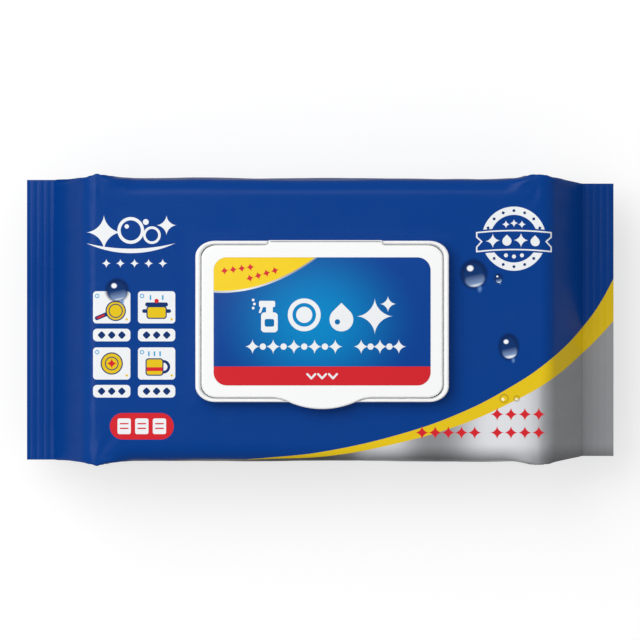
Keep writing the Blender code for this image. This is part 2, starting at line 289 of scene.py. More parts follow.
def ease(value, low, high):
    """0 at low, 1 at high, with no kink at either."""
    part = np.clip((value - low) / (high - low), 0.0, 1.0)
    return part * part * (3 - 2 * part)


def half_height(run):
    """Half the pack's height, this far in from the fin: an end panel, a round shoulder, a level top."""
    rise = MIDDLE - SHOULDER_RADIUS - FIN_HALF
    angle = math.atan2(rise, END_RUN) + math.asin(SHOULDER_RADIUS / math.hypot(rise, END_RUN))
    if run >= END_RUN:
        return MIDDLE
    if run > END_RUN - SHOULDER_RADIUS * math.sin(angle):
        return MIDDLE - SHOULDER_RADIUS + math.sqrt(SHOULDER_RADIUS**2 - (END_RUN - run) ** 2)
    return FIN_HALF + run * math.tan(angle)


def side_stand(run, outline):
    """How far the side stands out here, with the outline's corners taken off."""
    runs, stands = zip(*outline)
    near = [np.interp(run + off, runs, stands) for off in (-0.8, -0.4, 0.0, 0.4, 0.8)]
    return float(np.mean(near))


def edge_and_wall(wide, high, radius, swell, tuck, bow):
    """From the top edge's start, round it and down the wall to mid-height, as (y, z) points."""
    points = []
    across = radius * EDGE_STRETCH
    for step in range(EDGE_POINTS):
        angle = math.pi / 2 * (1 - step / EDGE_POINTS)
        points.append((wide - swell - across * (1 - math.cos(angle)), high - radius * (1 - math.sin(angle))))
    lip = high - radius
    for step in range(WALL_POINTS + 1):
        part = 1 - step / WALL_POINTS
        bulge = swell * (1 - part**2)
        points.append((wide - swell + bulge - tuck * (1 - part**bow), lip * part))
    return points


def section(x):
    """The film's section at x, as rows of y, z, place in the print across the film, and 1 if underneath."""
    left = x < 0
    fin = LEFT_FIN if left else RIGHT_FIN
    outline = LEFT_SIDE if left else RIGHT_SIDE
    run = HALF_LENGTH - abs(x) - fin
    wide = BODY_HALF + side_stand(max(run, 0.0), outline)
    if run <= 0:
        crimp = CRIMP_DEPTH * (0.5 - 0.5 * math.cos(2 * math.pi * run / CRIMP_PITCH)) ** 3
        high = FIN_HALF - crimp
        radius, swell, tuck, bow = high * 0.6, 0.0, 0.0, 1.0
    else:
        high = half_height(run)
        settled = ease(run, END_RUN, END_RUN + EAR_RUN)
        inward = 1.3 * (wide - BODY_HALF + 0.7) * ease(run, 0.0, END_RUN) * (1 - settled)
        tuck = math.sqrt(max(MIDDLE**2 - high**2, 0.0)) + max(inward, 0.0)
        radius = min(FOLD_RADIUS + (EDGE_RADIUS - FOLD_RADIUS) * settled, high * 0.6)
        swell = SIDE_SWELL * settled
        bow = 1.15
    side = edge_and_wall(wide, high, radius, swell, tuck, bow)
    side += [(y, -z) for y, z in reversed(side[:-1])]
    flat = side[0][0]
    lengths = [math.dist(a, b) for a, b in zip(side, side[1:])]
    across = flat + np.concatenate([[0.0], np.cumsum(lengths)])
    rows = [(y * flat, high, y * flat, 0.0) for y in np.linspace(-1, 1, TOP_POINTS)[1:-1]]
    rows += [(y, z, v, 0.0) for (y, z), v in zip(side, across)]
    seam = SEAM_STEP * ease(run, 0.0, END_RUN)
    for y in UNDER_PLACES:
        y = y if -SEAM_WIDTH - 1 <= y <= 1 else y * flat / BODY_HALF
        beside = 1 - ease(-y, -0.35, 0.0) + ease(-y, SEAM_WIDTH - 0.05, SEAM_WIDTH + 0.05)
        rows.append((y, -high + seam * beside * (1 - ease(abs(y), flat - 6, flat)), y, 1.0))
    rows += [(-y, z, -v, 0.0) for (y, z), v in zip(reversed(side), reversed(across))]
    return rows


# Places across the underside, close together at the seam's fold and at its free edge
UNDER_PLACES = [
    *np.linspace(BODY_HALF - 2.5, 2.5, 20),
    *np.linspace(0.8, -0.8, 9),
    *np.linspace(-3.0, -SEAM_WIDTH + 1.0, 6),
    *np.linspace(-SEAM_WIDTH + 0.4, -SEAM_WIDTH - 0.4, 9),
    *np.linspace(-SEAM_WIDTH - 2.5, -BODY_HALF + 2.5, 17),
]


def film_stations():
    """Places along the pack, close together on the fins and end panels."""
    stations = []
    for side, fin in ((-1, LEFT_FIN), (1, RIGHT_FIN)):
        line = HALF_LENGTH - fin
        ends = [np.linspace(HALF_LENGTH, line, 34), line - np.array([0.08, 0.5, 1.1])]
        ends.append(line - np.linspace(1.8, END_RUN - 0.5, 22))
        ends.append(line - np.linspace(END_RUN, END_RUN + EAR_RUN, 22))
        stations += [side * x for run in ends for x in run]
    reach = HALF_LENGTH - RIGHT_FIN - END_RUN - EAR_RUN
    stations += list(np.linspace(-reach + 2.5, reach - 1.5, 66))
    return sorted(stations)


def past_frame(x, y):
    """How far outside the frame's sides this place is."""
    return np.maximum(abs(x - FRAME_MIDDLE.x) - FRAME_HALF[0], abs(y - FRAME_MIDDLE.y) - FRAME_HALF[1])


def relief(x, across, under):
    """How far the film stands off its plain form here: slack, folds round the ears and pleats at the fins."""
    side = 1 if across > 0 else -1
    left = x < 0
    fin = LEFT_FIN if left else RIGHT_FIN
    run = HALF_LENGTH - abs(x) - fin
    if run <= 0 or under:
        return 0.0
    place = Vector((x, across, 40.0 * side)) * 0.03
    wall_part = ease(abs(across), BODY_HALF - 6, BODY_HALF + 2)
    slack = noise.noise(place) * (0.1 + 0.45 * wall_part)
    slack += noise.noise(place * 2.7) * (0.03 + 0.16 * wall_part)
    # Folds spread from the ear, where the side film turns in between the end panels.
    along, beside = run - END_RUN, abs(across) - BODY_HALF
    far = math.hypot(along, beside)
    turn = math.atan2(beside, along)
    twist = noise.noise(Vector((far * 0.08, side * 3.0, 9.0 if left else 5.0)))
    folds = math.cos(9 * turn + 3 * twist) * ease(far, 1.0, 7.0) * math.exp(-((far / 17) ** 2))
    folds *= 0.12 + 0.3 * wall_part
    pleats = noise.noise(Vector((across * 0.16, 2.0 if left else 7.0, 0.0)))
    pleats *= 0.45 * ease(run, 0.0, 3.0) * (1 - ease(run, 4.0, END_RUN + 6)) * (1 - wall_part)
    seat = 1 - ease(past_frame(x, across), 0.2, 9.0)
    return (slack + folds + pleats) * (1 - seat) * ease(run, 0.0, 2.0)


def film_pack():
    stations = film_stations()
    rings = np.array([section(x) for x in stations])
    count, size = rings.shape[:2]
    points = np.empty((count, size, 3))
    points[..., 0] = np.array(stations)[:, None]
    points[..., 1] = rings[..., 0]
    points[..., 2] = MIDDLE + rings[..., 1]
    along = np.gradient(points, axis=0)
    around = np.roll(points, -1, axis=1) - np.roll(points, 1, axis=1)
    normal = np.cross(around, along)
    normal /= np.maximum(np.linalg.norm(normal, axis=2, keepdims=True), 1e-9)
    if normal[count // 2, TOP_POINTS // 2, 2] < 0:
        normal = -normal
    off = np.array([[relief(x, r[2], r[3]) for r in ring] for x, ring in zip(stations, rings)])
    points += normal * off[..., None]
    top_here = rings[..., 1] > MIDDLE - 0.5
    far = past_frame(points[..., 0], points[..., 1])
    points[..., 2] += np.where(top_here, FRAME_SEAT * (1 - ease(far, -1.0, 5.0)), 0.0)
    # The fins are a little wavy towards their free edges.
    for i, x in enumerate(stations):
        fin = LEFT_FIN if x < 0 else RIGHT_FIN
        out = max(0.0, abs(x) - (HALF_LENGTH - fin)) / fin
        wave = [noise.noise(Vector((y * 0.022, 1.0 if x < 0 else 4.0, 0.0))) for y in points[i, :, 1]]
        points[i, :, 2] += out * FIN_WAVE * 2 * np.array(wave)
    points[..., 2] = np.maximum(points[..., 2], 0.0)
    places = np.stack([points[..., 0], rings[..., 2], rings[..., 3]], axis=2)
    places = places.reshape(-1, 3)
    made = mesh_piece("film_pack", points.reshape(-1, 3), ring_faces(count, size, False), "pack", places)
    bake_map(made, places, size)
    smooth(made, 60)
    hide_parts("pouch")
    return made


# Middles and scales of the film's regions on the bake map
TOP_MAP = (0.5, 0.0038, 0.745, 0.0037)
UNDER_MAP = (0.335, 0.0026, 0.16, 0.0024)
WALL_MAP = (0.0018, 0.245, 0.00185)
FRONT_WALL, BACK_WALL = 0.83, 0.68
LEFT_CAP, RIGHT_CAP = 0.96, 0.98
CAP_MAP = (0.004, 0.245, 0.0037)


def bake_map(piece, places, size):
    """Lays the top, the walls, the underside and the fins' ends out flat, the top largest."""
    walls = EDGE_POINTS + 2 * WALL_POINTS + EDGE_POINTS
    right = TOP_POINTS - 2 + EDGE_POINTS
    under = TOP_POINTS - 2 + walls
    left = under + 1 + len(UNDER_PLACES)
    layer = piece.data.uv_layers.new(name="OFBake")
    uv = np.zeros((len(piece.data.loops), 2), np.float32)
    vertex = np.empty(len(piece.data.loops), np.int32)
    piece.data.loops.foreach_get("vertex_index", vertex)

    def cap_place(i):
        x, y, z = piece.data.vertices[vertex[i]].co / MM
        scale, middle, scale_y = CAP_MAP
        return (LEFT_CAP if x < 0 else RIGHT_CAP) + (z - MIDDLE) * scale, middle + y * scale_y

    def flat_place(i, column):
        x, across, below = places[vertex[i]]
        if column < right or column >= size - EDGE_POINTS:
            return TOP_MAP[0] + x * TOP_MAP[1], TOP_MAP[2] + across * TOP_MAP[3]
        scale, middle, scale_x = WALL_MAP
        if column < under:
            return BACK_WALL + (across - BODY_HALF) * scale, middle + x * scale_x
        if column < left:
            y = across if below else math.copysign(BODY_HALF - EDGE_RADIUS, across)
            return UNDER_MAP[0] + x * UNDER_MAP[1], UNDER_MAP[2] + y * UNDER_MAP[3]
        return FRONT_WALL + (-across - BODY_HALF) * scale, middle + x * scale_x

    for face in piece.data.polygons:
        loops = range(face.loop_start, face.loop_start + face.loop_total)
        if face.loop_total > 4:
            for i in loops:
                uv[i] = cap_place(i)
            continue
        columns = {vertex[i] % size for i in loops}
        column = size - 1 if columns == {0, size - 1} else min(columns)
        for i in loops:
            uv[i] = flat_place(i, column)
    layer.data.foreach_set("uv", uv.ravel())


# Lid, frame, hinge and labels


def lid_outline():
    """The lid from above: rounded corners, the thumb tab in front and the hinge tongue at the back."""
    x, y = FRAME_MIDDLE.x, FRAME_MIDDLE.y
    radius = (TAB_CHORD**2 / 4 + TAB_REACH**2) / (2 * TAB_REACH)
    centre_y = FRAME_LOW.y - TAB_REACH + radius
    front, back = y - LID_HALF[1], y + LID_HALF[1]
    half_angle = math.acos((centre_y - front) / radius)
    tab_half = radius * math.sin(half_angle)
    path = [(x - LID_HALF[0], front, LID_CORNER[1], LID_CORNER[0])]
    path.append((x - tab_half, front, TAB_FILLET, TAB_FILLET))
    for step in range(3, 22):
        angle = half_angle * (step / 12 - 1)
        path.append((x + radius * math.sin(angle), centre_y - radius * math.cos(angle), 0, 0))
    path.append((x + tab_half, front, TAB_FILLET, TAB_FILLET))
    path.append((x + LID_HALF[0], front, LID_CORNER[0], LID_CORNER[1]))
    path.append((x + LID_HALF[0], back, LID_CORNER[1], LID_CORNER[0]))
    tongue = x + TONGUE_OFFSET
    for side in (1, -1):
        root = (tongue + side * TONGUE_HALF, back, TONGUE_FILLET, TONGUE_FILLET)
        tip = (tongue + side * TONGUE_HALF, FRAME_HIGH.y + TONGUE_PROUD, 0.5, 0.5)
        path += [root, tip] if side > 0 else [tip, root]
    path.append((x - LID_HALF[0], back, LID_CORNER[0], LID_CORNER[1]))
    return smooth_path(path)


def lid_frame_piece():
    bottom = FRAME_LOW.z
    floor = bottom + FLOOR_THICKNESS
    collar = floor + COLLAR_HEIGHT
    top = FRAME_HIGH.z

    def inside(end, side, z):
        half = (FRAME_HALF[0] - end, FRAME_HALF[1] - side)
        return at(rounded(half, (FRAME_CORNER[0] - end, FRAME_CORNER[1] - side)), z)

    def rim(part, z):
        return inside(RIM_END * part, RIM_SIDE * part, z)

    def lip(inward, z):
        return inside(RIM_END + inward, RIM_SIDE + inward, z)

    def window(grow, z):
        corner = WINDOW_CORNER + grow
        return at(rounded((WINDOW_HALF[0] + grow, WINDOW_HALF[1] + grow), (corner, corner)), z)

    rings = [rim(0.08, bottom), rim(0.0, bottom + 0.15), rim(0.0, top - 1.1)]
    for step in range(1, 8):
        angle = math.pi * step / 8
        rings.append(rim(0.5 - 0.5 * math.cos(angle), top - 1.0 + math.sin(angle) ** 0.8))
    rings += [rim(1.0, top - 0.7), lip(0.45, top - 1.5)]
    rings += [lip(0.45, floor + 0.5), lip(0.6, floor + 0.15), lip(0.9, floor)]
    rings += [window(COLLAR_WALL + 0.3, floor), window(COLLAR_WALL, floor + 0.3)]
    for step in range(5):
        angle = math.pi * step / 4
        half = COLLAR_WALL / 2
        rings.append(window(half + half * math.cos(angle), collar - 0.4 + 0.4 * math.sin(angle)))
    rings += [window(0.0, bottom + 0.15), window(0.15, bottom)]
    made = loft("lid_frame_moulding", rings, closed=True)
    slot = plate("slot", inset(lid_outline(), -SLOT_GAP), LID_TOP - PLATE - 0.4, LID_TOP + 2, 0.01, 0.01)
    combine(made, slot, "DIFFERENCE")
    soften(made, 0.18)
    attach(made, "pack")
    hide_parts("lid_frame")
    return made


def label_half():
    return (LABEL_HIGH.x - LABEL_LOW.x) / 2, (LABEL_HIGH.y - LABEL_LOW.y) / 2


def lid_piece():
    outline = lid_outline()
    made = plate("flip_lid", outline, LID_TOP - PLATE, LID_TOP, LID_EDGE)
    rim_inside = rounded((LID_HALF[0] - 0.12, LID_HALF[1] - 0.12), LID_CORNER)
    combine(made, wall("skirt", rim_inside, SKIRT_WALL, LID_LOW.z, LID_TOP - PLATE + 0.6), "UNION")
    plug_half = (WINDOW_HALF[0] - PLUG_GAP, WINDOW_HALF[1] - PLUG_GAP)
    plug_corner = (WINDOW_CORNER - PLUG_GAP, WINDOW_CORNER - PLUG_GAP)
    plug_bottom = FRAME_LOW.z + FLOOR_THICKNESS + COLLAR_HEIGHT - PLUG_OVERLAP
    plug = wall("plug", rounded(plug_half, plug_corner), PLUG_WALL, plug_bottom, LID_TOP - PLATE + 0.5)
    combine(made, plug, "UNION")
    recess_half = [half + RECESS_GAP for half in label_half()]
    recess_low = LID_TOP - RECESS_DEPTH
    recess = plate("recess", rounded(recess_half, LABEL_CORNER), recess_low, LID_TOP + 1, 0.01, 0.01)
    combine(made, recess, "DIFFERENCE")
    soften(made, 0.1)
    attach(made, "lid")
    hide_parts("lid")
    return made


def flat_map(piece, low, high):
    """The print's place on each point, round the piece's middle, and the same laid over the whole bake."""
    middle = (low + high) / 2
    size = max(high.x - low.x, high.y - low.y) * 1.01
    layer = piece.data.attributes.new("print_mm", "FLOAT_VECTOR", "POINT")
    uv = piece.data.uv_layers.new(name="OFBake")
    places = [(v.co.x / MM - middle.x, v.co.y / MM - middle.y, 0.0) for v in piece.data.vertices]
    layer.data.foreach_set("vector", np.array(places, np.float32).ravel())
    for loop in piece.data.loops:
        x, y, _ = places[loop.vertex_index]
        uv.data[loop.index].uv = (0.5 + x / size, 0.5 + y / size)


def lid_sticker():
    outline = rounded(label_half(), LABEL_CORNER)
    bottom = LID_TOP - RECESS_DEPTH + 0.02
    made = plate("lid_sticker", outline, bottom, LID_TOP + 0.04, 0.04, 0.02, "lid")
    flat_map(made, LABEL_LOW, LABEL_HIGH)
    smooth(made, 40)
    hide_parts("lid_label")
    return made


def seal_sticker():
    """The peel-off label in the window, with its pull tab."""
    x, y = FRAME_MIDDLE.x, FRAME_MIDDLE.y
    half_x, half_y = (SEAL_HIGH.x - SEAL_LOW.x) / 2, SEAL_HIGH.y - y
    front = y - half_y
    path = [(x - half_x, front, 9, 9), (x - 5.2, front, 2, 1.5)]
    path += [(x - 3.6, SEAL_LOW.y, 2.4, 2.4), (x + 3.6, SEAL_LOW.y, 2.4, 2.4), (x + 5.2, front, 1.5, 2)]
    path += [(x + half_x, front, 9, 9), (x + half_x, y + half_y, 9, 9), (x - half_x, y + half_y, 9, 9)]
    made = plate("seal_sticker", smooth_path(path), SEAL_LOW.z + 0.02, SEAL_LOW.z + 0.17, 0.04, 0.03, "pack")
    flat_map(made, SEAL_LOW, SEAL_HIGH)
    smooth(made, 40)
    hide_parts("seal_label")
    return made


def hinge_web():
    """The thin web that the lid turns on: moulded with the frame below and the tongue above."""
    half = TONGUE_HALF - 1.2
    middle = FRAME_MIDDLE.x + TONGUE_OFFSET
    low, high = HINGE.z - 1.1, HINGE.z + 1.1
    heights = np.linspace(low, high, 17)

    def outside(z):
        """Proud of the frame at the fold, and drawn into the mouldings at both ends."""
        return FRAME_HIGH.y - 0.1 + 0.22 * math.cos((z - HINGE.z) / (high - low) * math.pi)

    profile = [(outside(z), z) for z in heights]
    profile += [(outside(z) - 0.3 - 0.5 * abs(z - HINGE.z) / (high - low), z) for z in reversed(heights)]
    rings = [[(x, y, z) for y, z in profile] for x in np.linspace(middle - half, middle + half, 25)]
    made = loft("hinge_web", rings)
    smooth(made, 50)
    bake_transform(made)
    return made


# Materials


class Nodes:
    """Adds nodes to a new material, one after another."""

    def __init__(self, name):
        self.material = bpy.data.materials.new(name)
        self.material.use_nodes = True
        self.tree = self.material.node_tree
        self.shader = self.tree.nodes["Principled BSDF"]

    def feed(self, socket, value):
        if isinstance(value, bpy.types.NodeSocket):
            self.tree.links.new(value, socket)
        elif socket.type == "RGBA" and len(value) == 3:
            socket.default_value = (*value, 1.0)
        else:
            socket.default_value = value

    def add(self, kind, *inputs, **settings):
        node = self.tree.nodes.new(f"ShaderNode{kind}")
        for name, value in settings.items():
            setattr(node, name, value)
        for socket, value in zip(node.inputs, inputs):
            self.feed(socket, value)
        return node

    def math(self, operation, *values):
        return self.add("Math", *values, operation=operation).outputs[0]

    def vector(self, operation, *values):
        return self.add("VectorMath", *values, operation=operation).outputs[0]

    def length(self, value):
        return self.add("VectorMath", value, operation="LENGTH").outputs["Value"]

    def split(self, value):
        return self.add("SeparateXYZ", value).outputs

    def range(self, value, low, high, start, end, kind="LINEAR"):
        return self.add("MapRange", value, low, high, start, end, interpolation_type=kind).outputs[0]

    def mix(self, factor, first, second):
        node = self.add("Mix", data_type="RGBA")
        self.feed(node.inputs[0], factor)
        self.feed(node.inputs[6], first)
        self.feed(node.inputs[7], second)
        return node.outputs[2]

    def noise(self, place, scale, detail=2.0, roughness=0.5):
        node = self.add("TexNoise")
        self.feed(node.inputs["Vector"], place)
        node.inputs["Scale"].default_value = scale
        node.inputs["Detail"].default_value = detail
        node.inputs["Roughness"].default_value = roughness
        return node.outputs["Fac"]

    def bump(self, height, strength, distance):
        node = self.add("Bump")
        node.inputs["Strength"].default_value = strength
        node.inputs["Distance"].default_value = distance * MM
        self.feed(node.inputs["Height"], height)
        self.tree.links.new(node.outputs[0], self.shader.inputs["Normal"])

    def set(self, **values):
        for name, value in values.items():
            self.feed(self.shader.inputs[name.replace("_", " ")], value)


TILE_X = (-88.7, -69.6)
TILE_Y = (5.3, -18.6)
EDGE_BLUR = 0.07  # mm over which one ink gives way to the next


class Print(Nodes):
    """Paints flat shapes over each other, in mm on the film or label. A shape is a distance from its edge."""

    def __init__(self, name, colour):
        super().__init__(name)
        place = self.add("Attribute", attribute_name="print_mm").outputs["Vector"]
        self.raw = place
        self.place = self.vector("MULTIPLY", place, (1.0, 1.0, 0.0))
        self.colour = colour

    def paint(self, colour, distance, blur=EDGE_BLUR, strength=1.0):
        mask = self.range(distance, 0.0, blur, strength, 0.0)
        self.colour = self.mix(mask, self.colour, colour)

    def near(self, x, y, turn=0.0, place=None):
        here = self.vector("SUBTRACT", place or self.place, (x, y, 0.0))
        if turn:
            node = self.add("VectorRotate", rotation_type="Z_AXIS")
            self.feed(node.inputs["Vector"], here)
            node.inputs["Angle"].default_value = math.radians(-turn)
            here = node.outputs[0]
        return here

    def box(self, x, y, width, height, corner=0.0, turn=0.0, place=None):
        here = self.vector("ABSOLUTE", self.near(x, y, turn, place))
        past = self.vector("SUBTRACT", here, (width / 2 - corner, height / 2 - corner, 0.0))
        past = self.length(self.vector("MAXIMUM", past, (0.0, 0.0, 0.0)))
        return self.math("SUBTRACT", past, corner) if corner else past

    def line(self, start, end, width, place=None):
        (x1, y1), (x2, y2) = start, end
        turn = math.degrees(math.atan2(y2 - y1, x2 - x1))
        long = math.hypot(x2 - x1, y2 - y1) + width
        return self.box((x1 + x2) / 2, (y1 + y2) / 2, long, width, width / 2, turn, place)

    def disc(self, x, y, radius, stretch=1.0, place=None):
        here = self.near(x, y, 0.0, place)
        if stretch != 1.0:
            here = self.vector("MULTIPLY", here, (1.0, 1.0 / stretch, 0.0))
        return self.math("SUBTRACT", self.length(here), radius)

    def hoop(self, x, y, radius, width, place=None):
        away = self.math("ABSOLUTE", self.disc(x, y, radius, 1.0, place))
        return self.math("SUBTRACT", away, width / 2)

    def sparkle(self, x, y, radius, place=None):
        """A four-pointed star with hollow sides."""
        parts = self.split(self.vector("ABSOLUTE", self.near(x, y, 0.0, place)))
        roots = [self.math("POWER", parts[i], 0.6) for i in (0, 1)]
        return self.math("SUBTRACT", self.math("ADD", *roots), radius**0.6)

    def drop(self, x, y, radius, place=None):
        """A teardrop: a disc with a square turned on its corner above it."""
        square = self.box(x, y + radius * 0.7071, radius, radius, 0.0, 45.0, place)
        return self.math("MINIMUM", self.disc(x, y, radius, 1.0, place), square)

    def row(self, x, y, count, pitch, turn=0.0):
        """Places that repeat along a row of this many, with its middle at x, y, and how far outside it is."""
        here = self.near(x, y, turn)
        outside = self.box(0.0, 0.0, count * pitch, pitch * 3, 0.0, 0.0, here)
        if count % 2 == 0:
            here = self.vector("SUBTRACT", here, (pitch / 2, 0.0, 0.0))
        half = pitch / 2
        return self.vector("WRAP", here, (half, 99.0, 99.0), (-half, -99.0, -99.0)), outside

    def paint_row(self, colour, x, y, count, pitch, shape, size, turn=0.0):
        place, outside = self.row(x, y, count, pitch, turn)
        distance = shape(0.0, 0.0, size, place=place)
        self.paint(colour, self.math("MAXIMUM", distance, outside))


def kitchen_tiles(ink):
    """Four white tiles with a kitchen pictogram each, and a white pill with three small marks under each."""
    for x in TILE_X:
        for y in TILE_Y:
            ink.paint(WHITE, ink.box(x, y, 15.8, 13.6, 1.4))
            ink.paint(WHITE, ink.box(x, y - 11.8, 15.8, 5.3, 1.7))
            place, outside = ink.row(x, y - 11.8, 3, 4.3)
            mark = ink.box(0.0, 0.0, 2.5, 2.5, 0.6, 45.0, place)
            ink.paint(NAVY, ink.math("MAXIMUM", mark, outside))
            ink.paint(SKY, ink.hoop(x - 6.2, y + 4.8, 0.75, 0.3))
            ink.paint(YELLOW, ink.sparkle(x + 6.4, y - 5.1, 0.9))
    frying_pan(ink, TILE_X[0], TILE_Y[0])
    cooking_pot(ink, TILE_X[1], TILE_Y[0])
    dinner_plate(ink, TILE_X[0], TILE_Y[1])
    mug(ink, TILE_X[1], TILE_Y[1])


def frying_pan(ink, x, y):
    ink.paint(NAVY, ink.line((x - 1.0, y - 2.4), (x - 6.3, y - 4.6), 1.7))
    ink.paint(RED, ink.line((x - 3.4, y - 3.4), (x - 6.0, y - 4.48), 0.7))
    ink.paint(NAVY, ink.disc(x + 1.7, y - 1.5, 4.3))
    ink.paint(YELLOW, ink.disc(x + 1.7, y - 1.5, 3.8))
    ink.paint(NAVY, ink.hoop(x + 1.7, y - 1.5, 2.8, 0.35))


def cooking_pot(ink, x, y):
    ink.paint(NAVY, ink.box(x, y - 1.6, 12.2, 1.5, 0.7))
    ink.paint(NAVY, ink.box(x, y - 2.2, 8.6, 5.4, 1.2))
    ink.paint(YELLOW, ink.box(x, y - 2.2, 7.6, 4.4, 0.8))
    ink.paint(NAVY, ink.box(x, y + 1.2, 9.6, 1.7, 0.8))
    ink.paint(RED, ink.disc(x, y + 2.7, 0.9))
    for off in (-2.6, 2.6):
        ink.paint(SKY, ink.line((x + off, y + 3.4), (x + off, y + 4.9), 0.6))


def dinner_plate(ink, x, y):
    ink.paint(NAVY, ink.disc(x, y, 4.7))
    ink.paint(YELLOW, ink.disc(x, y, 4.2))
    ink.paint(NAVY, ink.hoop(x, y, 2.7, 0.35))
    ink.paint(RED, ink.sparkle(x, y, 2.2))


def mug(ink, x, y):
    ink.paint(NAVY, ink.hoop(x + 2.9, y - 1.4, 2.3, 1.1))
    ink.paint(NAVY, ink.box(x - 0.9, y - 1.5, 7.6, 7.4, 1.3))
    ink.paint(YELLOW, ink.box(x - 0.9, y - 1.5, 6.6, 6.4, 0.9))
    ink.paint(RED, ink.box(x - 0.9, y - 2.4, 6.6, 1.5))
    for off in (-2.4, 0.0, 2.4):
        ink.paint(SKY, ink.line((x - 0.9 + off, y + 3.4), (x - 0.9 + off, y + 4.9), 0.6))


def bubble_mark(ink):
    """White bubbles and sparkles over a swash, in the upper left of the film, with small sparkles below."""
    ink.paint(WHITE, ink.sparkle(-92.0, 37.2, 7.4))
    ink.paint(WHITE, ink.hoop(-80.6, 38.0, 5.0, 1.3))
    ink.paint(WHITE, ink.disc(-82.3, 39.7, 0.9))
    ink.paint(WHITE, ink.hoop(-71.6, 36.0, 3.2, 1.0))
    ink.paint(WHITE, ink.disc(-74.2, 41.6, 1.2))
    ink.paint(WHITE, ink.sparkle(-65.4, 40.2, 4.2))
    outer = ink.disc(-80.5, 73.0, 44.6)
    inner = ink.math("MULTIPLY", ink.disc(-80.5, 108.4, 78.2), -1.0)
    ink.paint(WHITE, ink.math("MAXIMUM", outer, inner))
    ink.paint_row(WHITE, -79.0, 24.0, 5, 6.0, ink.sparkle, 1.9)


def count_pill(ink):
    """A red pill with three small folded sheets."""
    ink.paint(RED, ink.box(-75.9, -45.3, 27.1, 11.2, 5.5))
    for x in (-83.4, -75.9, -68.4):
        ink.paint(WHITE, ink.box(x, -45.3, 5.6, 6.6, 0.8))
        ink.paint(RED, ink.line((x - 1.6, -44.2), (x + 1.6, -44.2), 0.5))
        ink.paint(RED, ink.line((x - 1.6, -46.2), (x + 1.6, -46.2), 0.5))


def ring_badge(ink):
    """A white ring of dots behind a ribbon."""
    x, y = 82.4, 34.5
    ink.paint(WHITE, ink.disc(x, y, 13.6))
    ink.paint(BLUE, ink.disc(x, y, 10.1))
    parts = ink.split(ink.near(x, y))
    angle = ink.math("ARCTAN2", parts[1], parts[0])
    step = math.pi / 16
    bead = ink.add("CombineXYZ", ink.math("MULTIPLY", ink.math("WRAP", angle, step, -step), 11.9)).outputs[0]
    away = ink.math("SUBTRACT", ink.length(ink.near(x, y)), 11.9)
    ink.paint(NAVY, ink.math("SUBTRACT", ink.math("ADD", ink.length(bead), ink.math("ABSOLUTE", away)), 0.75))
    for off in (-3.4, 0.0, 3.4):
        ink.paint(WHITE, ink.sparkle(x + off, y + 6.6 - 0.15 * abs(off), 1.7))
        ink.paint(WHITE, ink.disc(x + off, y - 7.6 + 0.15 * abs(off), 0.8))
    # The ribbon's middle stands a little above its ends.
    across = ink.math("SUBTRACT", ink.split(ink.place)[0], x)
    lift = ink.math("MULTIPLY", ink.math("MULTIPLY", across, across), 0.0035)
    bent = ink.vector("ADD", ink.place, ink.add("CombineXYZ", 0.0, lift).outputs[0])
    y -= 0.6
    for colour, grow in ((BLUE, 0.7), (WHITE, 0.0), (BLUE, -0.6)):
        band = ink.box(x, y, 32.2 + 2 * grow, 8.6 + 2 * grow, 0.0, 0.0, bent)
        for side in (-1, 1):
            notch = ink.box(x + side * 16.6, y, 3.4 - 2 * grow, 3.4 - 2 * grow, 0.0, 45.0, bent)
            band = ink.math("MAXIMUM", band, ink.math("SUBTRACT", EDGE_BLUR, notch))
        ink.paint(colour, band)
    marks = ((-9.0, ink.sparkle, 3.1), (-3.0, ink.drop, 1.9), (3.0, ink.sparkle, 3.1), (9.0, ink.drop, 1.9))
    for off, shape, size in marks:
        ink.paint(WHITE, shape(x + off, y - (0.4 if shape == ink.drop else 0.0), size, place=bent))


def water_drop(ink, x, y, radius, stretch=1.0):
    """A printed drop: a dark bead with a lit lower half, a bright rim below, a glint and a tail."""
    ink.paint(DROP_RIM, ink.disc(x, y, radius * 0.8, stretch), radius * 0.28, 0.95)
    ink.paint(DROP_BODY, ink.disc(x, y - radius * 0.1, radius * 0.62, stretch), radius * 0.3, 0.8)
    lit = ink.near(x + radius * 0.08, y - radius * 0.34 * stretch, 12.0)
    low = ink.split(lit)[1]
    shade = ink.mix(ink.range(low, radius * 0.34, -radius * 0.46, 0.0, 1.0), DROP_SHADE, DROP_LIT)
    shade = ink.mix(ink.range(low, -radius * 0.3, -radius * 0.5, 0.0, 1.0), shade, DROP_BRIGHT)
    lit = ink.vector("MULTIPLY", lit, (1.0, 1.45 / stretch, 0.0))
    ink.paint(shade, ink.math("SUBTRACT", ink.length(lit), radius * 0.6), radius * 0.16)
    glint = ink.disc(x - radius * 0.25, y + radius * 0.36 * stretch, radius * 0.17, 0.9)
    ink.paint(DROP_GLINT, glint, radius * 0.1)
    tail = ink.disc(x + radius * 0.42, y - radius * 0.96 * stretch, radius * 0.03, 1.5)
    ink.paint(DROP_TAIL, tail, radius * 0.18)


# Drops of water on the print: x, y, radius, and how much taller than wide
WATER_DROPS = (
    (65.3, 19.5, 6.1, 1.08),
    (80.2, -11.5, 4.6, 1.3),
    (75.8, 17.6, 1.9, 1.2),
    (-86.4, 12.6, 5.2, 1.0),
)
# Clear beads on the yellow stripe: x, y and radius
BEADS = ((78.2, -33.5, 1.7), (83.6, -33.5, 1.1))


def clear_bead(ink, x, y, radius):
    ink.paint(BEAD_RIM, ink.hoop(x, y, radius, 0.25), 0.3, 0.6)
    ink.paint(BEAD_GLINT, ink.disc(x - radius * 0.3, y - radius * 0.2, radius * 0.3), 0.3, 0.9)


STRIPE_SPAN = 250.0
STRIPE_LOW = 104.0
STRIPE_DROP = 140.0
